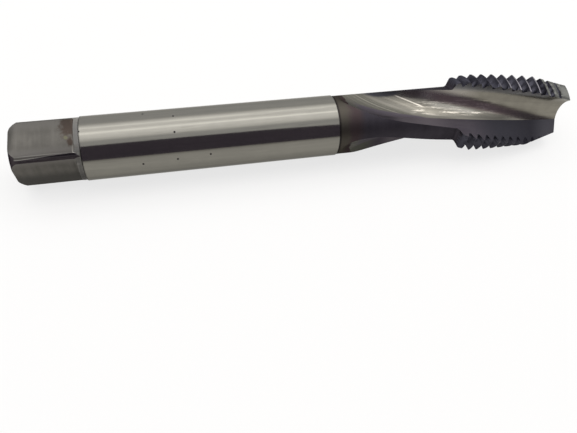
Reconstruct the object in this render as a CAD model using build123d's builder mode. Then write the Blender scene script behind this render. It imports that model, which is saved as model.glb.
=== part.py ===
"""Spiral-flute machine tap M16 x 2 with a reduced shank and a square drive, in millimetres.

The tap's axis is the X axis: the middle of the square's end face is the origin, and the cutting tip is at +X.
The tap lies on two of its lands, with +Z up.
Polar angles are measured about +X, from +Y towards +Z, and rolls from the first flute's floor at the tip.
"""

import math
import os

from build123d import *

# Overall
tap_length = 110.0
rest_roll = 173.8  # polar angle of the first flute's floor at the tip, with the tap lying on two lands

# Square drive
square_across_flats = 9.0
square_length = 11.3
square_roll = -72.6
square_root_radius = 0.5  # concave corner between a flat and its shoulder
drive_diameter = 11.65  # across the corners of the square
drive_band = 0.85  # from the shoulders to the ground shank
drive_chamfer_depth = 0.85
drive_chamfer_length = 1.2
drive_chamfer_bulge = 0.08
drive_edge_radius = 0.5

# Shank and neck
shank_diameter = 12.0
shank_end = 60.3
shank_edge = 0.1
neck_diameter = 11.65

# Thread
thread_diameter = 16.0
pitch = 2.0
thread_angle = 60.0
thread_depth_share = 0.64  # of the pitch
crest_share = 0.125  # of the pitch
crest_start = 88.68  # where a crest crosses the roll of 0
thread_back_start = 85.3  # where the back of the thread leaves the neck
thread_back_angle = 67.0
thread_back_edge_radius = 0.6
back_taper_diameter = 15.0  # at the top of the thread's back
back_taper_end = 88.9

# Lead: a cone whose axis is moved sideways for each land, so that a tooth falls away behind its cutting edge
lead_angle = 15.0
lead_corner_radius = 6.45  # at the tip, on the cutting edge
lead_relief_offset = 0.65

# Flutes
flute_count = 3
flute_lead = 175.3  # right-hand, 16 degrees at the thread diameter
core_radius = 2.65
flute_radius = 5.6
heel_turn = 17.7  # the flute's arc goes this far past its floor, and then the straight heel facet starts
land_angle = 31.35
full_depth_start = 73.0
wheel_radius = 23.0  # of the run-out that the grinding wheel leaves on the neck
flute_stations = 12

# Centre holes
centre_angle = 60.0
drive_centre_bore = 2.5
drive_centre_mouth = 5.3
drive_centre_depth = 5.4
tip_centre_bore = 1.3
tip_centre_mouth = 2.8
tip_centre_depth = 3.0

# Cutters
overrun = 0.6  # how far a cutter passes the surface that it cuts through
groove_stations = 4
groove_height_share = 0.9  # of the height over the crest at which neighbouring cutters would meet
groove_side_margin = 9.0  # how far a groove's cutter passes each side of its land, in degrees
lead_side_margin = 25.0  # how far a lead's cutter passes the cutting edge, in degrees

# Sizes that follow
drive_radius = drive_diameter / 2
drive_length = square_length + drive_band
shank_radius = shank_diameter / 2
neck_radius = neck_diameter / 2
thread_radius = thread_diameter / 2
root_radius = thread_radius - thread_depth_share * pitch
flank_slope = math.tan(math.radians(thread_angle / 2))
lead_slope = math.tan(math.radians(lead_angle))
flute_centre = core_radius + flute_radius
land_spacing = 360.0 / flute_count
back_taper_radius = back_taper_diameter / 2
back_slope = math.tan(math.radians(thread_back_angle))
back_taper_start = thread_back_start + (back_taper_radius - neck_radius) / back_slope


def polar(radius: float, angle: float) -> Vector:
    """A point of a cross-section, by its radius and its angle in degrees."""
    return Vector(radius * math.cos(math.radians(angle)), radius * math.sin(math.radians(angle)))


def flute_turn(x: float) -> float:
    """The angle by which the flutes at x lag behind the tip, in degrees."""
    return 360.0 * (x - tap_length) / flute_lead


def flute_side_angle(radius: float) -> float:
    """The angle at the tap's axis from a flute's floor to its cutting side at a radius, in degrees."""
    cosine = (radius**2 + flute_centre**2 - flute_radius**2) / (2 * radius * flute_centre)
    return math.degrees(math.acos(cosine))


def flute_arc_angle(radius: float) -> float:
    """The angle at the flute's own centre from its floor to its cutting side at a radius, in degrees."""
    cosine = (flute_radius**2 + flute_centre**2 - radius**2) / (2 * flute_radius * flute_centre)
    return math.degrees(math.acos(cosine))


def cross_plane(x: float, roll: float) -> Plane:
    """A plane across the axis at x, with its own x direction at a roll."""
    direction = polar(1, rest_roll + roll)
    return Plane(origin=(x, 0, 0), x_dir=(0, direction.X, direction.Y), z_dir=(1, 0, 0))


def axial_plane(origin: Vector, roll: float) -> Plane:
    """A plane along the axis at a roll, with its own x direction along the axis and its y outward."""
    direction = polar(1, rest_roll + roll)
    return Plane(origin=origin, x_dir=(1, 0, 0), z_dir=(0, -direction.Y, direction.X))


cutting_side = flute_side_angle(thread_radius)
heel_side = land_spacing - cutting_side - land_angle
land_middle = heel_side + land_angle / 2

# Cutter of one flute: its section turns along the helix, and lifts out of the neck on the wheel's arc
outer_radius = thread_radius + overrun
floor_end = 180 - heel_turn
floor_sweep = heel_turn + flute_arc_angle(outer_radius)
crease = Vector(flute_centre, 0) + polar(flute_radius, floor_end)
heel_crest = polar(thread_radius, heel_side)
heel_outer = heel_crest + (heel_crest - crease).normalized() * overrun
lift_out = max(neck_radius, shank_radius) + overrun - core_radius
flute_start = full_depth_start - math.sqrt(2 * wheel_radius * lift_out)
flute_step = (tap_length + overrun - flute_start) / (flute_stations - 1)

with BuildPart() as flute_cutter:
    for station in range(flute_stations):
        x = flute_start + station * flute_step
        lift = Vector(max(0, full_depth_start - x) ** 2 / (2 * wheel_radius), 0)
        with BuildSketch(cross_plane(x, flute_turn(x))):
            with BuildLine():
                floor = CenterArc(lift + Vector(flute_centre, 0), flute_radius, floor_end, floor_sweep)
                Line(lift + crease, lift + heel_outer)
                ThreePointArc(lift + heel_outer, lift + Vector(outer_radius + overrun, 0), floor @ 1)
            make_face()
    loft()

# Cutter of the thread's groove across one land: the V turns along the thread's helix
groove_radius = thread_radius + groove_height_share * crest_share * pitch / (2 * flank_slope)
root_width = pitch * (1 - crest_share) - 2 * (thread_radius - root_radius) * flank_slope
groove_width = root_width + 2 * (groove_radius - root_radius) * flank_slope
groove_half_turn = land_angle / 2 + groove_side_margin

with BuildPart() as groove_cutter:
    for station in range(groove_stations):
        turn = groove_half_turn * (2 * station / (groove_stations - 1) - 1)
        with BuildSketch(axial_plane(Vector(pitch * turn / 360, 0, 0), turn)):
            with BuildLine():
                Polyline(
                    (-root_width / 2, root_radius),
                    (root_width / 2, root_radius),
                    (groove_width / 2, groove_radius),
                    (-groove_width / 2, groove_radius),
                    close=True,
                )
            make_face()
    loft()

# Each groove's place on each land, where the thread's helix crosses the middle of the land
groove_places = []
groove_start = back_taper_start
groove_end = tap_length + pitch / 2
for land in range(flute_count):
    middle = land_middle + land_spacing * land
    # along the middle of a land the crests are a little further apart than the pitch
    step = pitch / (1 - pitch / flute_lead)
    first = (crest_start + pitch / 2 + pitch * (middle / 360 - tap_length / flute_lead)) / (1 - pitch / flute_lead)
    for turn in range(math.ceil((groove_start - first) / step), math.floor((groove_end - first) / step) + 1):
        x = first + turn * step
        groove_places.append(Location((x, 0, 0), (middle + flute_turn(x), 0, 0)))

with BuildPart() as tap:
    # turned blank: square's end, shank, neck and the body of the thread with its rounded back
    with BuildSketch(Plane.XY) as blank:
        with BuildLine():
            end_face = Line((0, 0), (0, drive_radius - drive_chamfer_depth))
            chamfer = SagittaArc(end_face @ 1, (drive_chamfer_length, drive_radius), drive_chamfer_bulge)
            Polyline(
                chamfer @ 1,
                (drive_length, drive_radius),
                (drive_length, shank_radius - shank_edge),
                (drive_length + shank_edge, shank_radius),
                (shank_end - shank_edge, shank_radius),
                (shank_end, shank_radius - shank_edge),
                (shank_end, neck_radius),
                (thread_back_start, neck_radius),
                (back_taper_start, back_taper_radius),
                (back_taper_end, thread_radius),
                (tap_length, thread_radius),
                (tap_length, 0),
                (0, 0),
            )
        make_face()
        drive_corners = blank.vertices().filter_by_position(Axis.X, 0, drive_chamfer_length)
        fillet(drive_corners.filter_by(lambda corner: corner.Y > 0), drive_edge_radius)
        back_corners = blank.vertices().filter_by_position(Axis.X, thread_back_start, back_taper_start)
        fillet(back_corners, thread_back_edge_radius)
    revolve(axis=Axis.X)

    # four flats, with their shoulders rounded into them
    with BuildSketch(cross_plane(0, square_roll)):
        Circle(drive_radius + 2 * overrun)
        Rectangle(square_across_flats, square_across_flats, mode=Mode.SUBTRACT)
    extrude(amount=square_length, mode=Mode.SUBTRACT)
    shoulders = tap.edges().filter_by(GeomType.LINE).filter_by_position(
        Axis.X, square_length, square_length, inclusive=(True, True)
    )
    fillet(shoulders, square_root_radius)

    # thread
    with Locations(*groove_places):
        add(groove_cutter.part, mode=Mode.SUBTRACT)

    # flutes
    with Locations(*[Location((0, 0, 0), (land_spacing * flute, 0, 0)) for flute in range(flute_count)]):
        add(flute_cutter.part, mode=Mode.SUBTRACT)

    # lead, relieved on each land by its own cone
    lead_top = thread_radius + lead_relief_offset + overrun
    lead_foot = lead_corner_radius - lead_slope * overrun
    lead_end = tap_length + overrun
    for land in range(flute_count):
        cutting_edge = land_middle + land_angle / 2 + land_spacing * land
        shift = polar(lead_relief_offset, rest_roll + cutting_edge + 90)
        shifted = Vector(0, shift.X, shift.Y)
        sector_start = cutting_edge - land_spacing + lead_side_margin
        with BuildSketch(axial_plane(shifted, sector_start)):
            with BuildLine():
                Polyline(
                    (lead_end, lead_foot),
                    (lead_end, lead_top),
                    (lead_end - (lead_top - lead_foot) / lead_slope, lead_top),
                    close=True,
                )
            make_face()
        revolve(axis=Axis(shifted, (1, 0, 0)), revolution_arc=land_spacing, mode=Mode.SUBTRACT)

    # centre holes
    with Locations(Plane(origin=(0, 0, 0), z_dir=(-1, 0, 0))):
        CounterSinkHole(drive_centre_bore / 2, drive_centre_mouth / 2, drive_centre_depth, centre_angle)
    with Locations(Plane(origin=(tap_length, 0, 0), z_dir=(1, 0, 0))):
        CounterSinkHole(tip_centre_bore / 2, tip_centre_mouth / 2, tip_centre_depth, centre_angle)

tap.part.label = "tap"

os.makedirs("parts", exist_ok=True)
export_step(tap.part, "parts/tap.step")
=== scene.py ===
"""Looks of a spiral-flute machine tap: a ground shank, a milled drive square and a dark-coated cutting end."""

import logging
import math
from collections.abc import Callable
from dataclasses import dataclass, field
from enum import Enum

import bpy
import numpy as np
from mathutils import Matrix, Vector

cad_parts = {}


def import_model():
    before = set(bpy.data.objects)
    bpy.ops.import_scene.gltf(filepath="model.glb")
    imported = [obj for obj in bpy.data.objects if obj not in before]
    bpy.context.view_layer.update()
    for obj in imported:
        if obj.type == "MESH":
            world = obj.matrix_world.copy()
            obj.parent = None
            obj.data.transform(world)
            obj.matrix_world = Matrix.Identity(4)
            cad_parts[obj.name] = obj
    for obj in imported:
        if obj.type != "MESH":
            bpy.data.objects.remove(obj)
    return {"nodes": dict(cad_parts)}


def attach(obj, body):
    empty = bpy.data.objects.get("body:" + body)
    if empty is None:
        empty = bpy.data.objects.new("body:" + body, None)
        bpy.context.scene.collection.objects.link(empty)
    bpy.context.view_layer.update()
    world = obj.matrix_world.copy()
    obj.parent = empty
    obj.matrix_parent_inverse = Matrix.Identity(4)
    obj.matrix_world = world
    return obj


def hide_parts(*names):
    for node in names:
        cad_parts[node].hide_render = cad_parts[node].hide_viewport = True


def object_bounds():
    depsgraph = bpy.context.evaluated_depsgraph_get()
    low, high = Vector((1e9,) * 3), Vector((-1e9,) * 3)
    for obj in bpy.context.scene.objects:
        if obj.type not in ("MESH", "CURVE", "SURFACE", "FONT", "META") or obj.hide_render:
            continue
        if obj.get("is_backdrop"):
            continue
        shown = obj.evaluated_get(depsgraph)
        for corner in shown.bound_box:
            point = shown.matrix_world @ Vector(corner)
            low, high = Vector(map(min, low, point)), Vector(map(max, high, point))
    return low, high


logging.basicConfig(level=logging.INFO, format="%(message)s")
log = logging.getLogger("tap")

MM = 0.001
METRE_IN_MM = 1000.0
DEGREE_IN_TURN = 180 / math.pi
SQUARE_SIDES = 4

Colour = tuple[float, float, float]
Point = tuple[float, float, float]
Span = tuple[float, float]  # where a mask is 0, and where it is 1
Socket = bpy.types.NodeSocket
Value = float | Socket
Gap = Callable[[np.ndarray, int], np.ndarray]


class Zone(Enum):
    """A surface of the tap that has a finish of its own."""

    FLAT = "drive_flat"
    CORNER = "drive_corner"
    COLLAR = "drive_collar"
    SHANK = "shank"
    NECK = "neck"
    FLUTE = "flute"
    HEEL = "flute_heel"
    FLANK = "thread"
    CREST = "thread_crest"
    LEAD = "lead"


class Marks(Enum):
    """Which way the fine marks of a finish run."""

    ALONG = "along"
    ACROSS = "across"
    AROUND = "around"
    FLUTE = "flute"

    @property
    def stretch(self) -> Point:
        """How fast the marks change along each axis."""
        return {Marks.ACROSS: (1.0, 0.08, 0.08), Marks.AROUND: (1.0, 0.6, 1.0)}.get(self, (0.05, 1.0, 1.0))


@dataclass(frozen=True)
class TapSizes:
    """The tap's sizes in millimetres and degrees, as its solid has them.

    Angles are measured about +X from +Y towards +Z, and rolls from the first flute's floor at the tip.
    """

    length: float = 110.0
    rest_roll: float = 173.8
    square_roll: float = -72.6
    square_length: float = 11.3
    drive_length: float = 12.15
    chamfer_length: float = 1.2
    shank_end: float = 60.3
    thread_start: float = 85.3
    thread_radius: float = 8.0
    root_radius: float = 6.72
    lead_start: float = 101.5
    flute_count: int = 3
    flute_lead: float = 175.3
    core_radius: float = 2.65
    flute_radius: float = 5.6
    heel_turn: float = 17.7
    land_angle: float = 31.35
    full_depth_start: float = 73.0
    wheel_radius: float = 23.0

    @property
    def flute_centre(self) -> float:
        """The distance from the tap's axis to the centre of a flute's arc."""
        return self.core_radius + self.flute_radius

    def heel_line(self) -> tuple[np.ndarray, np.ndarray]:
        """The heel facet in a flute's section.

        Returns:
            The crease where it leaves the flute's arc, and the unit vector from there towards the heel's crest.
        """
        reach, arc, outer = self.flute_centre, self.flute_radius, self.thread_radius
        cutting_side = math.acos((outer**2 + reach**2 - arc**2) / (2 * outer * reach))
        heel = math.radians(360.0 / self.flute_count - self.land_angle) - cutting_side
        turn = math.pi - math.radians(self.heel_turn)
        crease = np.array([reach + arc * math.cos(turn), arc * math.sin(turn)])
        crest = outer * np.array([math.cos(heel), math.sin(heel)])
        return crease, (crest - crease) / np.linalg.norm(crest - crease)

    def in_section(self, points: np.ndarray, flute: int) -> np.ndarray:
        """Turns points into a flute's own section, with its floor's direction first.

        Args:
            points: rows of x, y and z.
            flute: the flute's number, from 0.

        Returns:
            Rows of the two coordinates in the section, with the run-out's lift taken off.
        """
        x = points[:, 0]
        roll = np.radians(self.rest_roll + 360.0 * flute / self.flute_count)
        angle = roll + 2 * np.pi * (x - self.length) / self.flute_lead
        lift = np.maximum(0.0, self.full_depth_start - x) ** 2 / (2 * self.wheel_radius)
        floorward = points[:, 1] * np.cos(angle) + points[:, 2] * np.sin(angle) - lift
        sideways = -points[:, 1] * np.sin(angle) + points[:, 2] * np.cos(angle)
        return np.stack([floorward, sideways], axis=1)

    def arc_gap(self, points: np.ndarray, flute: int) -> np.ndarray:
        """How far points stand inside a flute's arc, which is 0 on the flute's surface."""
        section = self.in_section(points, flute)
        return self.flute_radius - np.hypot(section[:, 0] - self.flute_centre, section[:, 1])

    def heel_gap(self, points: np.ndarray, flute: int) -> np.ndarray:
        """How far points stand out of a flute's heel facet.

        Args:
            points: rows of x, y and z.
            flute: the flute's number, from 0.

        Returns:
            The distance of each point, which is 0 on the facet.
        """
        crease, along = self.heel_line()
        offset = self.in_section(points, flute) - crease
        return offset[:, 0] * along[1] - offset[:, 1] * along[0]


def slopes(gap: Gap, points: np.ndarray, flute: int) -> np.ndarray:
    """The unit normals of the surface on which a gap is 0.

    Args:
        gap: a method of TapSizes that measures the gap of each point.
        points: rows of x, y and z.
        flute: the flute's number, from 0.

    Returns:
        Rows of unit normals.
    """
    step = 0.001
    parts = []
    for axis in range(3):
        shift = np.zeros(3)
        shift[axis] = step
        parts.append((gap(points + shift, flute) - gap(points - shift, flute)) / (2 * step))
    normals = np.stack(parts, axis=1)
    return normals / np.linalg.norm(normals, axis=1, keepdims=True)


def radial(points: np.ndarray) -> np.ndarray:
    """Unit vectors away from the tap's axis at points."""
    out = np.stack([np.zeros(len(points)), points[:, 1], points[:, 2]], axis=1)
    return out / np.maximum(np.linalg.norm(out, axis=1, keepdims=True), 1e-9)


class Tree:
    """One node tree, with short calls for the nodes that the finishes use."""

    def __init__(self, tree: bpy.types.NodeTree) -> None:
        """Keeps a tree and starts it empty.

        Args:
            tree: the node tree of a material, a world or a group.
        """
        self.tree = tree
        self.nodes = tree.nodes
        self.links = tree.links
        self.nodes.clear()

    def add(self, kind: str, inputs: dict | None = None, **settings: object) -> bpy.types.Node:
        """Adds one node.

        Args:
            kind: the node's type name.
            inputs: values or sockets for its inputs, by name or number.
            settings: values of its own properties.

        Returns:
            The node.
        """
        node = self.nodes.new(kind)
        for name, value in settings.items():
            setattr(node, name, value)
        for key, value in (inputs or {}).items():
            if isinstance(value, Socket):
                self.links.new(value, node.inputs[key])
            else:
                node.inputs[key].default_value = value
        return node

    def math(self, operation: str, *values: Value) -> Socket:
        """A Math node's result for one to three values or sockets."""
        return self.add("ShaderNodeMath", dict(enumerate(values)), operation=operation).outputs[0]

    def times(self, first: Value, *others: Value) -> Socket:
        """The product of two or more values.

        Args:
            first: the first factor.
            others: the other factors.

        Returns:
            The product's socket.
        """
        product = first
        for other in others:
            product = self.math("MULTIPLY", product, other)
        return product

    def fade(self, value: Value, span: Span) -> Socket:
        """A mask that goes smoothly from 0 to 1 as a value goes from the first to the second end of a span."""
        inputs = {"Value": value, "From Min": span[0], "From Max": span[1]}
        return self.add("ShaderNodeMapRange", inputs, interpolation_type="SMOOTHSTEP").outputs[0]

    def stripe(self, value: Value, middle: float, edge: Span) -> Socket:
        """The mask of a stripe about a middle value, with its edge given as distances from that value."""
        return self.fade(self.math("ABSOLUTE", self.math("SUBTRACT", value, middle)), edge)

    def noise(self, vector: Socket, scale: float, detail: float = 3.0, roughness: float = 0.55) -> Socket:
        """A noise value over a vector."""
        inputs = {"Vector": vector, "Scale": scale, "Detail": detail, "Roughness": roughness}
        return self.add("ShaderNodeTexNoise", inputs).outputs["Fac"]

    def wander(self, vector: Socket, scale: float, detail: float) -> Socket:
        """A noise about 0, which moves an edge to and fro."""
        return self.math("SUBTRACT", self.noise(vector, scale, detail), 0.5)

    def mix(self, mask: Value, first: Colour | Socket, second: Colour | Socket) -> Socket:
        """The second colour over the first one.

        Args:
            mask: how much of the second colour shows.
            first: the colour below.
            second: the colour on top.

        Returns:
            The mixed colour.
        """
        node = self.add("ShaderNodeMix", data_type="RGBA")
        # a Mix node's colours are its seventh and eighth inputs and its third output
        for socket, value in zip((node.inputs[0], node.inputs[6], node.inputs[7]), (mask, first, second)):
            if isinstance(value, Socket):
                self.links.new(value, socket)
            elif isinstance(value, tuple):
                socket.default_value = (*value, 1.0)
            else:
                socket.default_value = value
        return node.outputs[2]

    def bump(self, height: Socket, distance: float) -> Socket:
        """The normal that a height gives, with the distance in millimetres."""
        inputs = {"Height": height, "Strength": 1.0, "Distance": distance * MM}
        return self.add("ShaderNodeBump", inputs).outputs["Normal"]

    def surface(self, shader: Socket, kind: str = "ShaderNodeOutputMaterial") -> None:
        """Links a shader to a new output node."""
        self.links.new(shader, self.add(kind).inputs["Surface"])


def new_material(name: str) -> tuple[bpy.types.Material, Tree]:
    """A new material and its empty tree.

    Args:
        name: the material's name.

    Returns:
        The material, and its tree.
    """
    material = bpy.data.materials.new(name)
    material.use_nodes = True
    return material, Tree(material.node_tree)


def new_group(name: str, inputs: dict[str, str], outputs: dict[str, str]) -> tuple[Tree, dict, bpy.types.Node]:
    """Starts a shader node group.

    Args:
        name: the group's name.
        inputs: the socket type of each input by its name.
        outputs: the socket type of each output by its name.

    Returns:
        The group's tree, the sockets of its inputs by name, and its output node.
    """
    group = bpy.data.node_groups.new(name, "ShaderNodeTree")
    for socket, kind in inputs.items():
        group.interface.new_socket(name=socket, in_out="INPUT", socket_type=kind)
    for socket, kind in outputs.items():
        group.interface.new_socket(name=socket, in_out="OUTPUT", socket_type=kind)
    tree = Tree(group)
    entry = tree.add("NodeGroupInput")
    return tree, {name: entry.outputs[name] for name in inputs}, tree.add("NodeGroupOutput")


@dataclass
class Effects:
    """The shader groups that several finishes share."""

    sizes: TapSizes
    mark_kinds: tuple[tuple[str, float, float], ...] = (("Fine", 1.0, 4.0), ("Broad", 0.22, 3.0), ("Scratch", 0.5, 1.0))
    mark_roughness: float = 0.62
    scratch_edge: Span = (0.62, 0.74)
    spot_edge: Span = (1.3, 0.6)
    place: bpy.types.NodeTree = field(init=False)
    section: bpy.types.NodeTree = field(init=False)
    marks: bpy.types.NodeTree = field(init=False)
    spot: bpy.types.NodeTree = field(init=False)

    def __post_init__(self) -> None:
        """Builds each group once."""
        self.place = self.build_place()
        self.section = self.build_section()
        self.marks = self.build_marks()
        self.spot = self.build_spot()

    @staticmethod
    def in_millimetres(tree: Tree) -> tuple[Socket, bpy.types.Node]:
        """The tap's own coordinates in a group.

        Args:
            tree: the group's tree.

        Returns:
            The coordinates in millimetres, and the node that separates them.
        """
        place = tree.add("ShaderNodeTexCoord").outputs["Object"]
        scaled = tree.add("ShaderNodeVectorMath", {0: place, 1: (METRE_IN_MM,) * 3}, operation="MULTIPLY").outputs[0]
        return scaled, tree.add("ShaderNodeSeparateXYZ", {0: scaled})

    @staticmethod
    def radius(tree: Tree, parts: bpy.types.Node) -> Socket:
        """The distance from the tap's axis, from the separated coordinates."""
        squares = (tree.math("POWER", parts.outputs[name], 2.0) for name in ("Y", "Z"))
        return tree.math("SQRT", tree.math("ADD", *squares))

    def build_place(self) -> bpy.types.NodeTree:
        """The tap's own coordinates in millimetres, and those coordinates rolled out from its axis.

        Returns:
            The group.
        """
        outputs = {"Straight": "NodeSocketVector", "Around": "NodeSocketVector", "Along": "NodeSocketFloat"}
        tree, _, out = new_group("tap_place", {}, outputs)
        straight, parts = self.in_millimetres(tree)
        around = tree.add("ShaderNodeCombineXYZ", {"X": parts.outputs["X"], "Y": self.radius(tree, parts)})
        tree.links.new(straight, out.inputs["Straight"])
        tree.links.new(around.outputs[0], out.inputs["Around"])
        tree.links.new(parts.outputs["X"], out.inputs["Along"])
        return tree.tree

    def build_section(self) -> bpy.types.NodeTree:
        """Where a point lies in its flute's section: its turn past the floor in degrees, and the arc rolled out.

        Returns:
            The group.
        """
        sizes = self.sizes
        outputs = {"Turn": "NodeSocketFloat", "Rolled": "NodeSocketVector"}
        tree, _, out = new_group("flute_section", {}, outputs)
        _, parts = self.in_millimetres(tree)
        x, y, z = (parts.outputs[name] for name in ("X", "Y", "Z"))
        turn_rate = 2 * math.pi / sizes.flute_lead
        roll = tree.math("MULTIPLY_ADD", x, turn_rate, math.radians(sizes.rest_roll) - sizes.length * turn_rate)
        angle = tree.math("SUBTRACT", tree.math("ARCTAN2", z, y), roll)
        spacing = 2 * math.pi / sizes.flute_count
        folded = tree.math("WRAP", angle, spacing / 2, -spacing / 2)
        radius = self.radius(tree, parts)
        short = tree.math("MAXIMUM", tree.math("SUBTRACT", sizes.full_depth_start, x), 0.0)
        lift = tree.math("DIVIDE", tree.math("POWER", short, 2.0), 2 * sizes.wheel_radius)
        floorward = tree.math("SUBTRACT", tree.times(radius, tree.math("COSINE", folded)), lift)
        sideways = tree.times(radius, tree.math("SINE", folded))
        inward = tree.math("SUBTRACT", sizes.flute_centre, floorward)
        turn = tree.times(tree.math("ARCTAN2", sideways, inward), -1.0)
        rolled = tree.add("ShaderNodeCombineXYZ", {"X": x, "Y": tree.times(turn, sizes.flute_radius)})
        tree.links.new(tree.times(turn, DEGREE_IN_TURN), out.inputs["Turn"])
        tree.links.new(rolled.outputs[0], out.inputs["Rolled"])
        return tree.tree

    def build_marks(self) -> bpy.types.NodeTree:
        """Fine marks, broad marks and scratches, drawn out by a stretch of the vector.

        Returns:
            The group.
        """
        inputs = {"Vector": "NodeSocketVector", "Stretch": "NodeSocketVector", "Fineness": "NodeSocketFloat"}
        outputs = {name: "NodeSocketFloat" for name, _, _ in self.mark_kinds}
        tree, entry, out = new_group("machining_marks", inputs, outputs)
        drawn = tree.add("ShaderNodeVectorMath", {0: entry["Vector"], 1: entry["Stretch"]}, operation="MULTIPLY")
        for name, share, detail in self.mark_kinds:
            scale = tree.times(entry["Fineness"], share)
            noise = tree.noise(drawn.outputs[0], scale, detail, self.mark_roughness)
            if name == "Scratch":
                noise = tree.fade(noise, self.scratch_edge)
            tree.links.new(noise, out.inputs[name])
        return tree.tree

    def build_spot(self) -> bpy.types.NodeTree:
        """One round spot about a place, with an edge that a noise breaks up.

        Returns:
            The group.
        """
        inputs = {"Vector": "NodeSocketVector", "Centre": "NodeSocketVector", "Stretch": "NodeSocketVector",
                  "Radius": "NodeSocketFloat", "Ragged": "NodeSocketFloat"}
        tree, entry, out = new_group("spot", inputs, {"Mask": "NodeSocketFloat"})
        gap = tree.add("ShaderNodeVectorMath", {0: entry["Vector"], 1: entry["Centre"]}, operation="SUBTRACT")
        drawn = tree.add("ShaderNodeVectorMath", {0: gap.outputs[0], 1: entry["Stretch"]}, operation="MULTIPLY")
        length = tree.add("ShaderNodeVectorMath", {0: drawn.outputs[0]}, operation="LENGTH").outputs["Value"]
        share = tree.math("DIVIDE", length, entry["Radius"])
        noise = tree.math("SUBTRACT", tree.noise(entry["Vector"], 1.3, 5.0, 0.65), 0.5)
        share = tree.math("MULTIPLY_ADD", noise, entry["Ragged"], share)
        tree.links.new(tree.fade(share, self.spot_edge), out.inputs["Mask"])
        return tree.tree


@dataclass(frozen=True)
class Spot:
    """A round patch: its middle and radius in millimetres, how ragged its edge is, and its shrink along each axis."""

    centre: Point
    radius: float
    ragged: float = 0.0
    stretch: Point = (1.0, 1.0, 1.0)


@dataclass(frozen=True)
class Layer:
    """A look that lies over another: its colour, its roughness unless it keeps the one below, and its strength."""

    colour: Colour
    roughness: float | None = None
    strength: float = 1.0


@dataclass
class Coat:
    """What a finish has drawn so far: its node tree, its coordinates and its present colour and gloss."""

    tree: Tree
    effects: Effects
    straight: Socket
    along: Socket
    marks: bpy.types.Node
    colour: Socket
    roughness: Socket

    def axis(self, name: str) -> Socket:
        """One of the tap's own coordinates, in millimetres."""
        return self.tree.add("ShaderNodeSeparateXYZ", {0: self.straight}).outputs[name]

    def spot(self, spot: Spot, vector: Socket | None = None) -> Socket:
        """The mask of one spot.

        Args:
            spot: its place and shape.
            vector: the coordinates that it is drawn in, or None for the tap's own.

        Returns:
            The mask.
        """
        inputs = {"Vector": vector or self.straight, "Centre": spot.centre, "Stretch": spot.stretch,
                  "Radius": spot.radius, "Ragged": spot.ragged}
        return self.tree.add("ShaderNodeGroup", inputs, node_tree=self.effects.spot).outputs["Mask"]

    def over(self, mask: Socket, layer: Layer) -> None:
        """Puts a layer over what is there.

        Args:
            mask: where the layer shows.
            layer: its look.
        """
        if layer.strength < 1.0:
            mask = self.tree.times(mask, layer.strength)
        self.colour = self.tree.mix(mask, self.colour, layer.colour)
        if layer.roughness is not None:
            change = self.tree.math("SUBTRACT", layer.roughness, self.roughness)
            self.roughness = self.tree.math("MULTIPLY_ADD", change, mask, self.roughness)


@dataclass(frozen=True)
class Finish:
    """A metal surface, with its colours, its gloss and its marks."""

    zone: Zone
    colour: Colour
    shade: Colour
    roughness: float
    spread: float = 0.10
    marks: Marks = Marks.ALONG
    fineness: float = 3.0
    depth: float = 0.003
    cloud: float = 0.4
    edge_tint: float = 0.75
    cloud_scale: float = 0.45
    shade_edge: Span = (0.36, 0.64)

    def make(self, effects: Effects) -> bpy.types.Material:
        """Builds the finish's material.

        Args:
            effects: the shared shader groups.

        Returns:
            The material.
        """
        material, tree = new_material(self.zone.value)
        place = tree.add("ShaderNodeGroup", node_tree=effects.place)
        straight = place.outputs["Straight"]
        vector = straight
        if self.marks is Marks.AROUND:
            vector = place.outputs["Around"]
        elif self.marks is Marks.FLUTE:
            vector = tree.add("ShaderNodeGroup", node_tree=effects.section).outputs["Rolled"]
        inputs = {"Vector": vector, "Stretch": self.marks.stretch, "Fineness": self.fineness}
        marks = tree.add("ShaderNodeGroup", inputs, node_tree=effects.marks)
        cloud = tree.noise(straight, self.cloud_scale, 5.0, 0.6)
        broad = marks.outputs["Broad"]
        wear = tree.math("MULTIPLY_ADD", tree.math("SUBTRACT", cloud, broad), self.cloud, broad)
        colour = tree.mix(tree.fade(wear, self.shade_edge), self.shade, self.colour)
        gloss = tree.math("SUBTRACT", marks.outputs["Fine"], 0.5)
        roughness = tree.math("MULTIPLY_ADD", gloss, self.spread, self.roughness)
        coat = Coat(tree, effects, straight, place.outputs["Along"], marks, colour, roughness)
        self.dress(coat)
        values = {"Base Color": coat.colour, "Metallic": 1.0, "Roughness": coat.roughness,
                  "Normal": tree.bump(marks.outputs["Fine"], self.depth),
                  "Specular Tint": (self.edge_tint, self.edge_tint, self.edge_tint, 1.0)}
        tree.surface(tree.add("ShaderNodeBsdfPrincipled", values).outputs[0])
        return material

    def dress(self, coat: Coat) -> None:
        """Adds what only this finish has, which is nothing on a plain one."""


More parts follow.
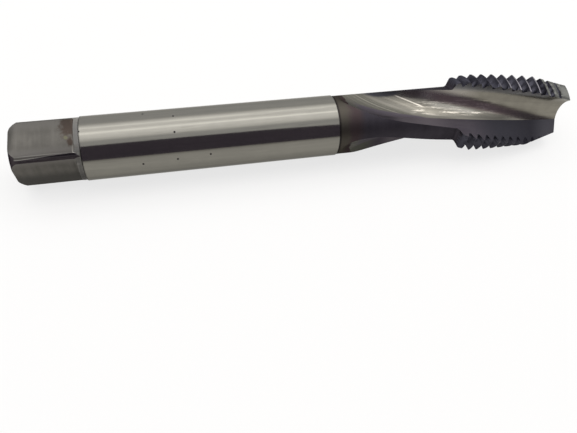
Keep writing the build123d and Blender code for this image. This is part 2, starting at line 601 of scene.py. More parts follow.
@dataclass(frozen=True)
class ShankSteel(Finish):
    """Bright ground steel with a few dark pits, and a thin stained line at each end."""

    pits: tuple[Point, ...] = (
        (23.6, 1.67, 5.76),
        (29.05, 0.16, 6.0),
        (28.95, -3.15, 5.11),
        (22.7, -5.98, 0.55),
        (29.0, -5.93, 0.90),
        (35.1, -5.86, 1.28),
        (12.3, -1.54, 5.80),
    )
    pit_radius: float = 0.2
    pit_ragged: float = 0.6
    pit: Layer = Layer((0.02, 0.018, 0.02), 0.5)
    scratch: Layer = Layer((0.12, 0.115, 0.10), 0.2, 0.25)
    stain: Layer = Layer((0.045, 0.042, 0.042), 0.3, 0.8)
    first_stain: Span = (12.5, 12.2)
    last_stain: Span = (60.02, 60.24)

    def dress(self, coat: Coat) -> None:
        """Adds a few fine dull scratches, the pits and the stained ends.

        Args:
            coat: what the finish has drawn so far.
        """
        tree = coat.tree
        coat.over(coat.marks.outputs["Scratch"], self.scratch)
        for pit in self.pits:
            coat.over(coat.spot(Spot(pit, self.pit_radius, self.pit_ragged)), self.pit)
        ends = tree.math("MAXIMUM", tree.fade(coat.along, self.first_stain), tree.fade(coat.along, self.last_stain))
        coat.over(ends, self.stain)


@dataclass(frozen=True)
class MilledFlat(Finish):
    """A drive flat with milling marks across it, and brown oxide near its shoulder."""

    # paler tones on the back side and on the upper front of the flats
    paler_back: Layer = Layer((0.175, 0.167, 0.155), 0.55)
    paler_tone: Layer = Layer((0.175, 0.167, 0.155))
    # painted shade: darker on the underside of the flats
    painted_shade: Layer = Layer((0.055, 0.053, 0.049), 0.55, 0.85)
    oxide: Layer = Layer((0.064, 0.048, 0.040), 0.6, 0.9)
    fleck: Layer = Layer((0.15, 0.145, 0.10), None, 0.8)
    # painted highlight: a thin bright line along the flat's edge beside the corner
    edge_highlight: Layer = Layer((0.42, 0.41, 0.38), 0.3, 0.35)
    back_side: Span = (0.3, 3.0)
    front_side: Span = (-2.4, -4.0)
    upper_side: Span = (1.0, 3.0)
    under_side: Span = (0.0, -2.6)
    upper_oxide: Spot = Spot((10.4, 2.2, 4.9), 1.75, 1.7, (1.0, 0.48, 0.7))
    lower_oxide: Spot = Spot((10.5, -2.2, 4.0), 0.55, 1.6, (1.0, 0.6, 1.0))
    thin_oxide: Spot = Spot((10.0, -0.9, 4.3), 1.0, 2.4)
    thin_share: float = 0.45
    fleck_spot: Spot = Spot((9.8, -1.2, 4.3), 0.4, 1.8)
    highlight_spot: Spot = Spot((5.9, -4.42, 3.67), 0.16, 0.25, (0.033, 1.0, 1.0))

    def dress(self, coat: Coat) -> None:
        """Adds the paler sides, a painted shade on the underside, the oxide, a pale fleck and a painted highlight along
        the corner.

        Args:
            coat: what the finish has drawn so far.
        """
        tree = coat.tree
        side, upright = coat.axis("Y"), coat.axis("Z")
        coat.over(tree.fade(side, self.back_side), self.paler_back)
        front = tree.times(tree.fade(side, self.front_side), tree.fade(upright, self.upper_side))
        coat.over(front, self.paler_tone)
        # painted shade on the underside of the flats
        coat.over(tree.fade(upright, self.under_side), self.painted_shade)
        thin = tree.times(coat.spot(self.thin_oxide), self.thin_share)
        oxide = tree.math("MAXIMUM", coat.spot(self.lower_oxide), thin)
        coat.over(tree.math("MAXIMUM", coat.spot(self.upper_oxide), oxide), self.oxide)
        coat.over(coat.spot(self.fleck_spot), self.fleck)
        # painted highlight along the edge beside the corner
        coat.over(coat.spot(self.highlight_spot), self.edge_highlight)


@dataclass(frozen=True)
class CornerLand(Finish):
    """A dark corner land, paler in a wedge beside the flat above it, wider towards the end face, with a painted
    highlight along the wedge's edge.
    """

    paler_tone: Layer = Layer((0.135, 0.128, 0.118), 0.5)
    # painted highlight: a thin bright line along the wedge's lower edge
    edge_highlight: Layer = Layer((0.40, 0.39, 0.36), 0.35, 0.7)
    middle: float = 33.8
    half_width: float = 5.6
    wedge_width: float = 4.6
    wedge_length: Span = (11.0, 1.0)
    wedge_edge: Span = (-0.3, 0.3)
    highlight_width: Span = (1.0, 0.3)
    back_side: Span = (1.0, 2.5)
    land: Span = (0.9, 1.2)
    end_face: Span = (0.06, 0.02)

    def dress(self, coat: Coat) -> None:
        """Adds the paler wedge and a painted highlight along its lower edge on each land, and the paler end face.

        Args:
            coat: what the finish has drawn so far.
        """
        tree = coat.tree
        side, upright = coat.axis("Y"), coat.axis("Z")
        quarter = 360.0 / SQUARE_SIDES
        angle = tree.math("ARCTAN2", upright, tree.times(side, -1.0))
        degrees = tree.math("MULTIPLY_ADD", angle, DEGREE_IN_TURN, -self.middle)
        folded = tree.math("WRAP", degrees, quarter / 2, -quarter / 2)
        wedge = tree.times(tree.fade(coat.along, self.wedge_length), self.wedge_width)
        above = tree.math("SUBTRACT", tree.math("ADD", folded, wedge), self.half_width)
        land = tree.fade(coat.along, self.land)
        coat.over(tree.times(tree.fade(above, self.wedge_edge), land), self.paler_tone)
        coat.over(tree.times(tree.fade(side, self.back_side), land), self.paler_tone)
        # painted highlight along the wedge's lower edge
        coat.over(tree.times(tree.stripe(above, 0.0, self.highlight_width), land), self.edge_highlight)
        coat.over(tree.fade(coat.along, self.end_face), self.paler_tone)


@dataclass(frozen=True)
class CollarSteel(Finish):
    """The narrow turned band beside the shank, which is paler on top and darker and rougher below."""

    paler_top: Layer = Layer((0.33, 0.32, 0.305), 0.35)
    dull: Layer = Layer((0.062, 0.058, 0.057), 0.4)
    top: Span = (3.2, 5.0)
    under_side: Span = (0.4, -2.4)

    def dress(self, coat: Coat) -> None:
        """Adds the paler top and the darker, rougher underside.

        Args:
            coat: what the finish has drawn so far.
        """
        upright = coat.axis("Z")
        coat.over(coat.tree.fade(upright, self.top), self.paler_top)
        coat.over(coat.tree.fade(upright, self.under_side), self.dull)


@dataclass(frozen=True)
class NeckCoat(Finish):
    """The dark coated neck, with brown and olive heat tints beside the shank."""

    brown: Layer = Layer((0.052, 0.035, 0.033), 0.5, 0.65)
    olive: Layer = Layer((0.060, 0.054, 0.046), 0.46)
    seam: Layer = Layer((0.02, 0.018, 0.018), 0.5, 0.8)
    brown_end: Span = (65.9, 63.7)
    olive_end: Span = (63.2, 61.5)
    seam_end: Span = (60.75, 60.45)
    wander_scale: float = 0.3
    wander_reach: float = 2.4

    def dress(self, coat: Coat) -> None:
        """Adds the brown and the olive band, both with soft wandering edges, and the dark seam beside the shank.

        Args:
            coat: what the finish has drawn so far.
        """
        tree = coat.tree
        wander = tree.wander(coat.straight, self.wander_scale, 3.0)
        along = tree.math("MULTIPLY_ADD", wander, self.wander_reach, coat.along)
        coat.over(tree.fade(along, self.brown_end), self.brown)
        coat.over(tree.fade(along, self.olive_end), self.olive)
        coat.over(tree.fade(coat.along, self.seam_end), self.seam)


@dataclass(frozen=True)
class HeelCoat(Finish):
    """The coated heel facet, which turns olive low under the run-out."""

    violet: Layer = Layer((0.130, 0.116, 0.132), 0.5)
    dark: Layer = Layer((0.037, 0.036, 0.044), 0.5)
    tip: Layer = Layer((0.100, 0.098, 0.112), 0.5)
    # an olive tone on the underside, low on the run-out towards the shank
    olive_low: Layer = Layer((0.088, 0.090, 0.074), 0.5, 0.85)
    violet_end: Span = (86.0, 78.0)
    violet_start: Span = (70.5, 74.0)
    dark_start: Span = (86.5, 95.0)
    tip_start: Span = (103.0, 109.0)
    olive_low_end: Span = (70.5, 66.5)
    under_side: Span = (-1.2, -2.4)

    def dress(self, coat: Coat) -> None:
        """Adds the coating's tones along the facet, and an olive tone low on the run-out.

        Args:
            coat: what the finish has drawn so far.
        """
        tree = coat.tree
        violet = tree.times(tree.fade(coat.along, self.violet_end), tree.fade(coat.along, self.violet_start))
        coat.over(violet, self.violet)
        coat.over(tree.fade(coat.along, self.dark_start), self.dark)
        coat.over(tree.fade(coat.along, self.tip_start), self.tip)
        olive_low = tree.times(tree.fade(coat.axis("Z"), self.under_side), tree.fade(coat.along, self.olive_low_end))
        coat.over(olive_low, self.olive_low)


@dataclass(frozen=True)
class GroundFlute(Finish):
    """A ground flute: streaked steel with a dull band, bright scratches painted as highlights, further painted
    highlights and glints, painted shade beside the crease, and dark coating creeping up from its heel.

    Spans named start or end are along the tap in millimetres. The others are turns past the flute's floor in degrees,
    or sums of such a turn and a fall along the tap.
    """

    # the wheel's lines cross the run-out, and fall by this turn a millimetre
    crossing_fall: float = 4.7
    entry: Layer = Layer((0.108, 0.103, 0.091), 0.3, 0.85)
    entry_edge: Span = (373.0, 362.0)

    # the cutting side, and its lip beside the land
    side: Layer = Layer((0.38, 0.36, 0.33), 0.3)
    side_turn: Span = (20.0, 34.0)
    side_end: Span = (92.0, 85.0)
    side_start: Span = (77.5, 81.0)
    coated_lip: Layer = Layer((0.18, 0.18, 0.188), 0.4)
    bare_lip: Layer = Layer((0.40, 0.40, 0.42), 0.4)
    lip_turn: Span = (40.0, 54.0)
    lip_end: Span = (106.5, 103.5)
    bare_start: Span = (92.0, 101.0)

    # two bands beside the floor, which fall by this turn a millimetre
    band_fall: float = 1.85
    stain: Layer = Layer((0.38, 0.325, 0.29), 0.22)
    stain_middle: float = 181.0
    stain_edge: Span = (12.0, 5.0)
    stain_start: Span = (79.0, 84.0)
    stain_end: Span = (103.0, 94.0)
    # painted highlight: a bright strip below the stained band
    highlight_ribbon: Layer = Layer((0.40, 0.385, 0.345), 0.24, 0.75)
    ribbon_middle: float = 165.0
    ribbon_edge: Span = (9.0, 3.0)
    ribbon_start: Span = (79.5, 82.5)
    ribbon_end: Span = (92.0, 89.0)

    # the run-out
    dull: Layer = Layer((0.074, 0.072, 0.062), 0.42, 0.9)
    dull_edge: Span = (354.0, 348.5)
    runout_end: Span = (79.5, 75.5)
    # grinding streaks across the run-out, painted bright as highlights
    streak_highlight: Layer = Layer((0.75, 0.70, 0.62), 0.3, 0.22)
    streak_edge: Span = (0.50, 0.66)
    streak_scale: float = 0.45
    # painted highlight along the line where the run-out ends
    ridge_highlight: Layer = Layer((0.75, 0.70, 0.62), 0.25)
    ridge_middle: float = 382.3
    ridge_edge: Span = (2.0, 0.4)
    ridge_start: Span = (73.0, 74.5)
    ridge_end: Span = (79.8, 78.4)

    # the floor
    # painted glints: bright flecks on the flute's floor
    painted_glint: Layer = Layer((0.75, 0.70, 0.62), 0.2, 0.75)
    glint_stretch: Point = (0.16, 1.6, 1.0)
    glint_scale: float = 1.5
    glint_edge: Span = (0.50, 0.66)
    floor_upper: Span = (30.0, 18.0)
    floor_lower: Span = (-19.0, -14.0)
    floor_start: Span = (76.0, 79.0)
    floor_end: Span = (97.0, 92.0)
    # painted shade: a darker strip beside the crease
    crease: Layer = Layer((0.108, 0.103, 0.091), 0.3)
    crease_turn: Span = (-2.0, -13.0)
    crease_start: Span = (75.0, 78.0)
    crease_end: Span = (101.0, 96.0)

    # coating left beside the heel, with an edge that falls by this turn a millimetre, and above the run-out
    coating_fall: float = 2.0
    coating: Layer = Layer((0.080, 0.070, 0.084), 0.5)
    coating_edge: Span = (143.6, 140.2)
    coating_start: Span = (64.0, 66.5)
    wander_scale: float = 0.8
    wander_reach: float = 5.0
    top: Layer = Layer((0.035, 0.036, 0.046), 0.5, 0.9)
    top_spot: Spot = Spot((71.2, 40.0, 0.0), 1.0, 0.35, (0.24, 0.15, 1.0))

    def dress(self, coat: Coat) -> None:
        """Adds the wheel's crossing lines, the dull band, the bright scratches painted as highlights, the painted
        highlights, glints and shade, and the coating's edge.

        Args:
            coat: what the finish has drawn so far.
        """
        tree = coat.tree
        section = tree.add("ShaderNodeGroup", node_tree=coat.effects.section)
        turn = section.outputs["Turn"]
        crossing = tree.math("MULTIPLY_ADD", coat.along, self.crossing_fall, turn)
        coat.over(tree.fade(crossing, self.entry_edge), self.entry)
        self.add_side(coat, turn)
        self.add_bands(coat, turn)
        self.add_runout(coat, crossing)
        self.add_floor(coat, turn, section.outputs["Rolled"])
        self.add_coating(coat, turn)

    def add_side(self, coat: Coat, turn: Socket) -> None:
        """Adds the bright cutting side and its lip, which is coated at first and bare further on.

        Args:
            coat: what the finish has drawn so far.
            turn: the turn past the flute's floor.
        """
        tree = coat.tree
        side = tree.times(tree.fade(turn, self.side_turn), tree.fade(coat.along, self.side_end))
        coat.over(tree.times(side, tree.fade(coat.along, self.side_start)), self.side)
        lip = tree.times(tree.fade(turn, self.lip_turn), tree.fade(coat.along, self.lip_end))
        coat.over(lip, self.coated_lip)
        coat.over(tree.times(lip, tree.fade(coat.along, self.bare_start)), self.bare_lip)

    def add_bands(self, coat: Coat, turn: Socket) -> None:
        """Adds the stained band beside the floor and a painted highlight in a narrow band under it.

        Args:
            coat: what the finish has drawn so far.
            turn: the turn past the flute's floor.
        """
        tree = coat.tree
        falling = tree.math("MULTIPLY_ADD", coat.along, self.band_fall, turn)
        stain = tree.stripe(falling, self.stain_middle, self.stain_edge)
        stain = tree.times(stain, tree.fade(coat.along, self.stain_start), tree.fade(coat.along, self.stain_end))
        coat.over(stain, self.stain)
        # painted highlight in a strip below the stained band
        highlight_ribbon = tree.stripe(falling, self.ribbon_middle, self.ribbon_edge)
        highlight_ribbon = tree.times(highlight_ribbon, tree.fade(coat.along, self.ribbon_start), tree.fade(coat.along, self.ribbon_end))
        coat.over(highlight_ribbon, self.highlight_ribbon)

    def add_runout(self, coat: Coat, crossing: Socket) -> None:
        """Adds the run-out's dull band, its streaks painted bright as highlights, and a painted highlight along the
        line where it ends.

        Args:
            coat: what the finish has drawn so far.
            crossing: the turn past the flute's floor, summed with the fall of the wheel's lines.
        """
        tree = coat.tree
        lines = tree.noise(tree.add("ShaderNodeCombineXYZ", {"X": crossing}).outputs[0], self.streak_scale, 4.0, 0.7)
        runout = tree.fade(coat.along, self.runout_end)
        coat.over(tree.times(tree.fade(crossing, self.dull_edge), runout), self.dull)
        # grinding streaks, painted bright as highlights
        coat.over(tree.times(tree.fade(lines, self.streak_edge), runout), self.streak_highlight)
        # painted highlight along the line where the run-out ends
        ridge_highlight = tree.stripe(crossing, self.ridge_middle, self.ridge_edge)
        ridge_highlight = tree.times(ridge_highlight, tree.fade(coat.along, self.ridge_start), tree.fade(coat.along, self.ridge_end))
        coat.over(ridge_highlight, self.ridge_highlight)

    def add_floor(self, coat: Coat, turn: Socket, rolled: Socket) -> None:
        """Adds the floor's painted glints and a painted shade in a strip beside the crease.

        Args:
            coat: what the finish has drawn so far.
            turn: the turn past the flute's floor.
            rolled: the place on the flute's arc, rolled out.
        """
        tree = coat.tree
        drawn = tree.add("ShaderNodeVectorMath", {0: rolled, 1: self.glint_stretch}, operation="MULTIPLY").outputs[0]
        glints = tree.fade(tree.noise(drawn, self.glint_scale, 3.0, 0.7), self.glint_edge)
        floor = tree.times(tree.fade(turn, self.floor_upper), tree.fade(turn, self.floor_lower))
        reach = tree.times(tree.fade(coat.along, self.floor_start), tree.fade(coat.along, self.floor_end))
        # painted glints on the floor
        coat.over(tree.times(glints, tree.times(floor, reach)), self.painted_glint)
        # painted shade beside the crease
        crease = tree.times(tree.fade(turn, self.crease_turn), tree.fade(coat.along, self.crease_start))
        coat.over(tree.times(crease, tree.fade(coat.along, self.crease_end)), self.crease)

    def add_coating(self, coat: Coat, turn: Socket) -> None:
        """Adds the coating that is left beside the heel and above the run-out.

        Args:
            coat: what the finish has drawn so far.
            turn: the turn past the flute's floor.
        """
        tree = coat.tree
        wander = tree.times(tree.wander(coat.straight, self.wander_scale, 4.0), self.wander_reach)
        falling = tree.math("MULTIPLY_ADD", coat.along, self.coating_fall, tree.math("ADD", turn, wander))
        heelward = tree.times(tree.fade(falling, self.coating_edge), tree.fade(coat.along, self.coating_start))
        coat.over(heelward, self.coating)
        along_turn = tree.add("ShaderNodeCombineXYZ", {"X": coat.along, "Y": turn}).outputs[0]
        coat.over(coat.spot(self.top_spot, along_turn), self.top)


@dataclass(frozen=True)
class CrestWear(Finish):
    """The thread's crests, which wear bright from the fifth tooth on, are still coated before it, and are darker on the
    underside.
    """

    coating: Layer = Layer((0.034, 0.033, 0.044), 0.5)
    coated_end: Span = (95.5, 93.0)
    under_side: Span = (-1.0, -3.0)

    def dress(self, coat: Coat) -> None:
        """Adds the coating that is left on the first teeth, and the same dark colour on the underside.

        Args:
            coat: what the finish has drawn so far.
        """
        tree = coat.tree
        # darker on the underside
        under = tree.fade(coat.axis("Z"), self.under_side)
        coat.over(tree.math("MAXIMUM", tree.fade(coat.along, self.coated_end), under), self.coating)


FINISHES = (
    MilledFlat(Zone.FLAT, (0.138, 0.131, 0.120), (0.110, 0.105, 0.096), 0.60, marks=Marks.ACROSS, fineness=5.0,
               depth=0.012, cloud=0.5),
    CornerLand(Zone.CORNER, (0.050, 0.043, 0.047), (0.034, 0.029, 0.034), 0.28, edge_tint=0.3),
    CollarSteel(Zone.COLLAR, (0.205, 0.200, 0.190), (0.150, 0.145, 0.140), 0.30, marks=Marks.AROUND),
    ShankSteel(Zone.SHANK, (0.212, 0.205, 0.184), (0.192, 0.186, 0.168), 0.115, spread=0.05, fineness=5.0,
               depth=0.0008, cloud=0.3, edge_tint=0.6),
    NeckCoat(Zone.NECK, (0.050, 0.045, 0.055), (0.040, 0.036, 0.044), 0.55, marks=Marks.AROUND, edge_tint=0.4),
    GroundFlute(Zone.FLUTE, (0.225, 0.213, 0.184), (0.170, 0.160, 0.138), 0.20, spread=0.16, marks=Marks.FLUTE,
                fineness=2.6, depth=0.010),
    HeelCoat(Zone.HEEL, (0.080, 0.071, 0.083), (0.066, 0.058, 0.071), 0.52, marks=Marks.FLUTE, depth=0.006,
             edge_tint=0.4),
    Finish(Zone.FLANK, (0.070, 0.069, 0.086), (0.056, 0.055, 0.071), 0.55, marks=Marks.AROUND, edge_tint=0.3),
    CrestWear(Zone.CREST, (0.17, 0.163, 0.178), (0.10, 0.096, 0.108), 0.40, marks=Marks.AROUND),
    Finish(Zone.LEAD, (0.175, 0.176, 0.165), (0.130, 0.132, 0.127), 0.42, marks=Marks.AROUND, edge_tint=0.6),
)


@dataclass
class TapBody:
    """The tap itself: its solid's faces with true surface normals and a finish for each zone."""

    sizes: TapSizes = field(default_factory=TapSizes)
    node: str = "tap"
    name: str = "tap_body"
    merge_gap: float = 1e-6
    smooth_angle: float = 28.0
    surface_gap: float = 0.05
    end_slack: float = 0.01
    shoulder_slack: float = 0.02
    crease_slack: float = 0.3
    back_foot: float = 0.4
    crest_height: float = 0.3
    same_facing: float = 0.85
    lead_facing: float = 0.9
    round_facing: float = 0.99
    land_facing: float = 0.995
    flat_facing: float = 0.999
    true_round: float = 0.999999
    lead_slope: Span = (0.15, 0.4)

    def build(self, source: bpy.types.Object, finishes: dict[Zone, bpy.types.Material]) -> bpy.types.Object:
        """Makes the shown tap from its solid.

        Args:
            source: the CAD node's object.
            finishes: the material of each zone.

        Returns:
            The finished piece.
        """
        body = self.copy_solid(source)
        zones = self.sort_faces(body.data)
        body.data.materials.clear()
        order = list(finishes)
        for zone in order:
            body.data.materials.append(finishes[zone])
        body.data.polygons.foreach_set("material_index", [order.index(zone) for zone in zones])
        self.set_normals(body.data, zones)
        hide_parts(self.node)
        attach(body, "root")
        return body

    def copy_solid(self, source: bpy.types.Object) -> bpy.types.Object:
        """A merged copy of the solid's mesh, smooth apart from its real edges.

        Args:
            source: the CAD node's object.

        Returns:
            The copy.
        """
        bpy.ops.object.select_all(action="DESELECT")
        body = bpy.data.objects.new(self.name, source.data.copy())
        bpy.context.scene.collection.objects.link(body)
        body.select_set(True)
        bpy.context.view_layer.objects.active = body
        bpy.ops.object.mode_set(mode="EDIT")
        bpy.ops.mesh.select_all(action="SELECT")
        bpy.ops.mesh.remove_doubles(threshold=self.merge_gap)
        bpy.ops.object.mode_set(mode="OBJECT")
        bpy.ops.object.shade_smooth_by_angle(angle=math.radians(self.smooth_angle))
        return body

    @staticmethod
    def face_table(mesh: bpy.types.Mesh) -> tuple[np.ndarray, np.ndarray]:
        """Where each face lies and how it is turned.

        Args:
            mesh: the tap's mesh.

        Returns:
            Each face's middle in millimetres, and its unit normal.
        """
        centres = np.empty(len(mesh.polygons) * 3)
        normals = np.empty(len(mesh.polygons) * 3)
        mesh.polygons.foreach_get("center", centres)
        mesh.polygons.foreach_get("normal", normals)
        return centres.reshape(-1, 3) * METRE_IN_MM, normals.reshape(-1, 3)

    @staticmethod
    def corner_points(mesh: bpy.types.Mesh) -> np.ndarray:
        """The corners of the faces, which are triangles.

        Args:
            mesh: the tap's mesh.

        Returns:
            Rows of x, y and z in millimetres, three for each face.
        """
        places = np.empty(len(mesh.vertices) * 3)
        mesh.vertices.foreach_get("co", places)
        vertex = np.empty(len(mesh.loops), dtype=int)
        mesh.loops.foreach_get("vertex_index", vertex)
        return places.reshape(-1, 3)[vertex] * METRE_IN_MM

    def flute_surfaces(self) -> list[tuple[int, Gap, Zone]]:
        """The number, the gap and the zone of each flute's arc and heel facet.

        Returns:
            The arc and the heel facet of one flute after the other.
        """
        kinds = ((self.sizes.arc_gap, Zone.FLUTE), (self.sizes.heel_gap, Zone.HEEL))
        return [(flute, gap, zone) for flute in range(self.sizes.flute_count) for gap, zone in kinds]

    def sort_faces(self, mesh: bpy.types.Mesh) -> np.ndarray:
        """Finds the zone of each face, from where it lies and how it is turned.

        Args:
            mesh: the tap's mesh.

        Returns:
            The zone of each face.
        """
        sizes = self.sizes
        centres, normals = self.face_table(mesh)
        x = centres[:, 0]
        radius = np.hypot(centres[:, 1], centres[:, 2])
        outward = (normals * radial(centres)).sum(axis=1)
        zones = np.full(len(x), Zone.FLANK, dtype=object)
        zones[(x < sizes.thread_start + self.back_foot) & (x > sizes.shank_end - self.end_slack)] = Zone.NECK
        zones[(x < sizes.shank_end + self.end_slack) & (x > sizes.drive_length - self.end_slack)] = Zone.SHANK
        zones[x < sizes.drive_length + self.end_slack] = Zone.COLLAR
        square = x < sizes.square_length + self.shoulder_slack
        zones[square] = Zone.CORNER
        zones[square & (x > 2 * sizes.chamfer_length) & (outward < self.land_facing)] = Zone.FLAT
        for side in range(SQUARE_SIDES):
            angle = math.radians(sizes.rest_roll + sizes.square_roll + 360 / SQUARE_SIDES * side)
            flat = normals[:, 1] * math.cos(angle) + normals[:, 2] * math.sin(angle) > self.flat_facing
            zones[square & flat & (outward < self.true_round)] = Zone.FLAT
        crest = (outward > self.round_facing) & (radius > sizes.root_radius + self.crest_height)
        zones[(x > sizes.thread_start) & crest] = Zone.CREST
        lowest, steepest = self.lead_slope
        leading = (outward > self.lead_facing) & (normals[:, 0] > lowest) & (normals[:, 0] < steepest)
        zones[(x > sizes.lead_start) & leading] = Zone.LEAD
        zones[(x > sizes.length - self.end_slack) & (normals[:, 0] > self.lead_facing)] = Zone.LEAD
        self.sort_flutes(mesh, zones)
        return zones

    def sort_flutes(self, mesh: bpy.types.Mesh, zones: np.ndarray) -> None:
        """Gives the faces of the flutes their zones.

        Args:
            mesh: the tap's mesh.
            zones: the zone of each face so far, which is changed.
        """
        centres, normals = self.face_table(mesh)
        corners = self.corner_points(mesh)
        middles = corners.reshape(-1, 3, 3).mean(axis=1)
        best = np.full(len(zones), self.surface_gap)
        for flute, gap, zone in self.flute_surfaces():
            widest = np.abs(gap(corners, flute)).reshape(-1, 3).max(axis=1)
            facing = (slopes(gap, centres, flute) * normals).sum(axis=1) > self.same_facing
            here = (widest < best) & facing & self.beside(middles, flute, zone)
            here &= centres[:, 0] > self.sizes.shank_end
            zones[here] = zone
            best[here] = widest[here]

    def beside(self, points: np.ndarray, flute: int, zone: Zone) -> np.ndarray:
        """Finds the points that lie on a flute's own side of the crease.

        Args:
            points: rows of x, y and z.
            flute: the flute's number, from 0.
            zone: the flute's arc or its heel facet.

        Returns:
            Whether each point does.
        """
        section = self.sizes.in_section(points, flute)
        crease, along = self.sizes.heel_line()
        past = (section - crease) @ along
        if zone is Zone.HEEL:
            return past > -self.crease_slack
        return (past < self.crease_slack) | (section[:, 1] < 0)

    def set_normals(self, mesh: bpy.types.Mesh, zones: np.ndarray) -> None:
        """Gives each corner the normal of the true surface that its face lies on.

        Args:
            mesh: the tap's mesh.
            zones: the zone of each face.
        """
        corners = np.empty(len(mesh.loops) * 3)
        mesh.corner_normals.foreach_get("vector", corners)
        corners = corners.reshape(-1, 3)
        points = self.corner_points(mesh)
        _, face_normals = self.face_table(mesh)
        zone_of, true = np.repeat(zones, 3), np.repeat(face_normals, 3, axis=0)
        for flute, gap, zone in self.flute_surfaces():
            normals = slopes(gap, points, flute)
            facing = (normals * true).sum(axis=1) > self.same_facing
            here = (zone_of == zone) & facing & (np.abs(gap(points, flute)) < self.surface_gap)
            corners[here] = normals[here]
        outward = radial(points)
        turned = (zone_of == Zone.SHANK) | (zone_of == Zone.CREST) | (zone_of == Zone.NECK)
        straight = turned & ((true * outward).sum(axis=1) > self.round_facing)
        corners[straight] = outward[straight]
        mesh.normals_split_custom_set(corners.tolist())


@dataclass
class Studio:
    """A pale floor, a broad overhead panel, a dark board on the camera's side, white surroundings and the camera."""

    sensor: float = 36.0
    focal_length: float = 35.743
    nearest: float = 0.005
    farthest: float = 20.0
    camera_height_angle: float = 45.7
    camera_along: float = 28.0935
    camera_distance: float = 113.3009
    camera_turns: Point = (-0.1319, -0.2011, -0.0946)

    white: Colour = (1.0, 1.0, 1.0)
    floor_size: float = 3.0
    floor_middle: float = 0.05
    floor_colour: Colour = (0.80, 0.79, 0.775)
    floor_near_tone: Colour = (1.0, 0.985, 0.93)
    # painted shade: the floor's darker tone far from the tap, seen only in reflections
    floor_far_shade: Colour = (0.42, 0.40, 0.36)
    floor_far: Span = (-0.02, -0.16)
    seen_share: float = 0.75
    mirrored_share: float = 0.6

    panel_strips: tuple[Span, ...] = (
        (-0.42, 0.36), (-0.30, 0.52), (-0.10, 0.66), (0.03, 0.70), (0.11, 0.98), (0.19, 0.78),
        (0.29, 0.60), (0.42, 0.66), (0.54, 0.84), (0.66, 0.66), (0.91, 0.42), (1.15, 0.28),
    )
    panel_start: float = -0.5
    panel_reach: float = 1.7
    panel_warmth: Colour = (1.0, 0.99, 0.975)
    panel_strength: float = 3.4
    panel_scale: Point = (2.8, 1.6, 1.0)
    panel_place: Point = (0.35, 0.36, 1.0)

    board_tops: tuple[Span, ...] = ((0.1, 1.02), (0.3, 0.95), (0.5, 0.68), (0.7, 0.55))
    board_colour: Colour = (0.03, 0.025, 0.033)
    board_glow: Colour = (0.10, 0.085, 0.11)
    board_distance: float = 0.8
    board_foot: float = -0.007
    board_length: float = 3.2
    board_middle: float = 0.1
    board_cuts: int = 15

    lamp_colour: Colour = (1.0, 0.98, 0.95)
    lamp_strength: float = 4.0
    lamp_size: float = 0.30
    lamp_tilt: float = -45.0
    lamp_place: Point = (0.80, -0.76, 1.02)

    sky_colour: Colour = (0.97, 0.98, 1.0)
    sky_strength: float = 0.45

    def place_camera(self) -> None:
        """Adds the camera, which looks down on the tap from its -Y side."""
        data = bpy.data.cameras.new("camera")
        data.sensor_width = self.sensor
        data.lens = self.focal_length
        data.clip_start = self.nearest
        data.clip_end = self.farthest
        camera = bpy.data.objects.new("camera", data)
        bpy.context.scene.collection.objects.link(camera)
        about_x, about_y, about_z = self.camera_turns
        tilt = math.radians(self.camera_height_angle)
        turn = Matrix.Rotation(tilt, 4, "X") @ Matrix.Rotation(about_z, 4, "Z")
        turn = turn @ Matrix.Rotation(about_y, 4, "Y") @ Matrix.Rotation(about_x, 4, "X")
        back = Vector((0, -math.sin(tilt), math.cos(tilt))) * self.camera_distance * MM
        camera.matrix_world = Matrix.Translation(back + Vector((self.camera_along * MM, 0, 0))) @ turn
        bpy.context.scene.camera = camera

    @staticmethod
    def new_glow(tree: Tree, colour: Colour | Socket, strength: float) -> Socket:
        """A shader that gives off light.

        Args:
            tree: the material's tree.
            colour: the light's colour.
            strength: its strength.

        Returns:
            The shader.
        """
        inputs = {"Color": (*colour, 1.0) if isinstance(colour, tuple) else colour, "Strength": strength}
        return tree.add("ShaderNodeEmission", inputs).outputs[0]

    @staticmethod
    def new_plane(name: str, material: bpy.types.Material) -> bpy.types.Object:
        """Adds a plane of 1 m.

        Args:
            name: its name.
            material: its material.

        Returns:
            The plane, which alone is selected.
        """
        bpy.ops.object.select_all(action="DESELECT")
        bpy.ops.mesh.primitive_plane_add(size=1.0)
        plane = bpy.context.object
        plane.name = name
        plane.data.materials.append(material)
        return plane

    @staticmethod
    def settle(piece: bpy.types.Object, seen: bool = False) -> None:
        """Puts a selected piece's place into its mesh and marks it as part of the stage.

        Args:
            piece: the piece.
            seen: whether the camera sees it.
        """
        bpy.ops.object.transform_apply(location=True, rotation=True, scale=True)
        piece.visible_camera = seen
        piece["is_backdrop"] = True
        log.info("%s: %d faces", piece.name, len(piece.data.polygons))

    def lay_floor(self, height: float) -> None:
        """Adds the floor: white to the camera, with the tap's shadow on it, and with a painted shade that darkens it
        away from the tap in reflections.

        Args:
            height: the floor's height in metres.
        """
        material, tree = new_material("floor")
        rays = tree.add("ShaderNodeLightPath").outputs
        mirrored = tree.math("MAXIMUM", rays["Is Glossy Ray"], rays["Is Transmission Ray"])
        share = tree.math("MAXIMUM", tree.times(rays["Is Camera Ray"], self.seen_share),
                          tree.times(mirrored, self.mirrored_share))
        place = tree.add("ShaderNodeTexCoord").outputs["Object"]
        forward = tree.add("ShaderNodeSeparateXYZ", {0: place}).outputs["Y"]
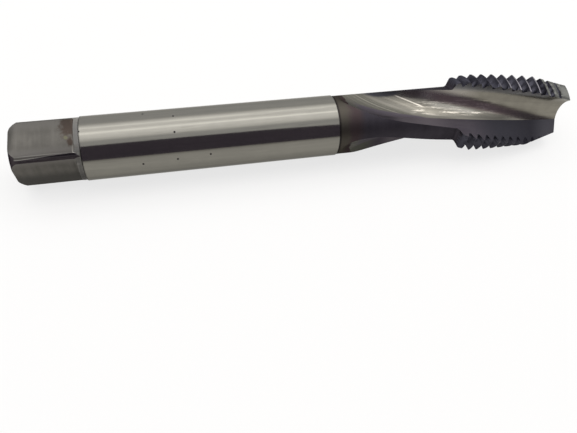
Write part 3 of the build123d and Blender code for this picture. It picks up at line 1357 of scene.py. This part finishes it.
        # painted shade: to glossy and transmission rays the floor darkens away from the tap
        far = tree.times(tree.fade(forward, self.floor_far), mirrored)
        tone = tree.mix(far, self.floor_near_tone, self.floor_far_shade)
        tone = tree.mix(rays["Is Camera Ray"], tone, self.white)
        plain = tree.add("ShaderNodeBsdfDiffuse", {"Color": (*self.floor_colour, 1.0)}).outputs[0]
        glow = self.new_glow(tree, tone, 1.0)
        tree.surface(tree.add("ShaderNodeMixShader", {0: share, 1: plain, 2: glow}).outputs[0])
        floor = self.new_plane("floor", material)
        floor.scale = (self.floor_size, self.floor_size, 1.0)
        floor.location = (self.floor_middle, 0.0, height)
        self.settle(floor, seen=True)

    def hang_panel(self) -> None:
        """Adds the overhead panel, which is brightest in two strips that run along the tap."""
        material, tree = new_material("light_panel")
        place = tree.add("ShaderNodeTexCoord").outputs["Object"]
        across = tree.add("ShaderNodeSeparateXYZ", {0: place}).outputs["Y"]
        share = tree.math("MULTIPLY_ADD", across, 1 / self.panel_reach, -self.panel_start / self.panel_reach)
        ramp = tree.add("ShaderNodeValToRGB", {"Fac": share})
        elements = ramp.color_ramp.elements
        for number, (strip, level) in enumerate(self.panel_strips):
            position = (strip - self.panel_start) / self.panel_reach
            # a new ramp has two elements
            element = elements[number] if number < 2 else elements.new(position)
            element.position = position
            element.color = (*(level * part for part in self.panel_warmth), 1.0)
        tree.surface(self.new_glow(tree, ramp.outputs[0], self.panel_strength))
        panel = self.new_plane("light_panel", material)
        panel.scale = self.panel_scale
        panel.location = self.panel_place
        self.settle(panel)

    def stand_board(self) -> None:
        """Adds the dark board, which stands on the camera's side and is lower towards the cutting end."""
        material, tree = new_material("dark_board")
        plain = tree.add("ShaderNodeBsdfDiffuse", {"Color": (*self.board_colour, 1.0)}).outputs[0]
        glow = self.new_glow(tree, self.board_glow, 1.0)
        tree.surface(tree.add("ShaderNodeAddShader", {0: plain, 1: glow}).outputs[0])
        board = self.new_plane("dark_board", material)
        bpy.ops.object.mode_set(mode="EDIT")
        bpy.ops.mesh.subdivide(number_cuts=self.board_cuts)
        bpy.ops.object.mode_set(mode="OBJECT")
        places, tops = zip(*self.board_tops)
        for vertex in board.data.vertices:
            along, up = vertex.co.x * self.board_length + self.board_middle, vertex.co.y + 0.5
            height = float(np.interp(along, places, tops)) - self.board_foot
            vertex.co = (along, -self.board_distance, self.board_foot + up * height)
        self.settle(board)

    def hang_lamp(self) -> None:
        """Adds the small bright lamp over the board, towards the cutting end."""
        material, tree = new_material("lamp")
        tree.surface(self.new_glow(tree, self.lamp_colour, self.lamp_strength))
        lamp = self.new_plane("lamp", material)
        lamp.scale = (self.lamp_size, self.lamp_size, 1.0)
        lamp.rotation_euler = (math.radians(self.lamp_tilt), 0.0, 0.0)
        lamp.location = self.lamp_place
        self.settle(lamp)

    def light(self) -> None:
        """Surrounds the scene with white, and lights it softly at about half that strength."""
        world = bpy.data.worlds.new("studio")
        bpy.context.scene.world = world
        world.use_nodes = True
        tree = Tree(world.node_tree)
        rays = tree.add("ShaderNodeLightPath").outputs
        mirrored = tree.math("MAXIMUM", rays["Is Glossy Ray"], rays["Is Transmission Ray"])
        seen = tree.math("MAXIMUM", rays["Is Camera Ray"], mirrored)
        soft, bright = (
            tree.add("ShaderNodeBackground", {"Color": (*colour, 1.0), "Strength": strength}).outputs[0]
            for colour, strength in ((self.sky_colour, self.sky_strength), (self.white, 1.0))
        )
        both = tree.add("ShaderNodeMixShader", {0: seen, 1: soft, 2: bright})
        tree.surface(both.outputs[0], "ShaderNodeOutputWorld")


def main() -> None:
    """Builds the dressed tap, the floor, the light and the camera."""
    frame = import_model()
    cad_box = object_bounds()
    studio = Studio()
    studio.place_camera()
    sizes = TapSizes()
    effects = Effects(sizes)
    finishes = {finish.zone: finish.make(effects) for finish in FINISHES}
    tap = TapBody(sizes)
    body = tap.build(frame["nodes"][tap.node], finishes)
    log.info("%s: %d faces", body.name, len(body.data.polygons))
    studio.lay_floor(cad_box[0].z)
    studio.hang_panel()
    studio.stand_board()
    studio.hang_lamp()
    studio.light()
    bpy.context.scene.view_settings.view_transform = "Standard"


if __name__ == "__main__":
    main()
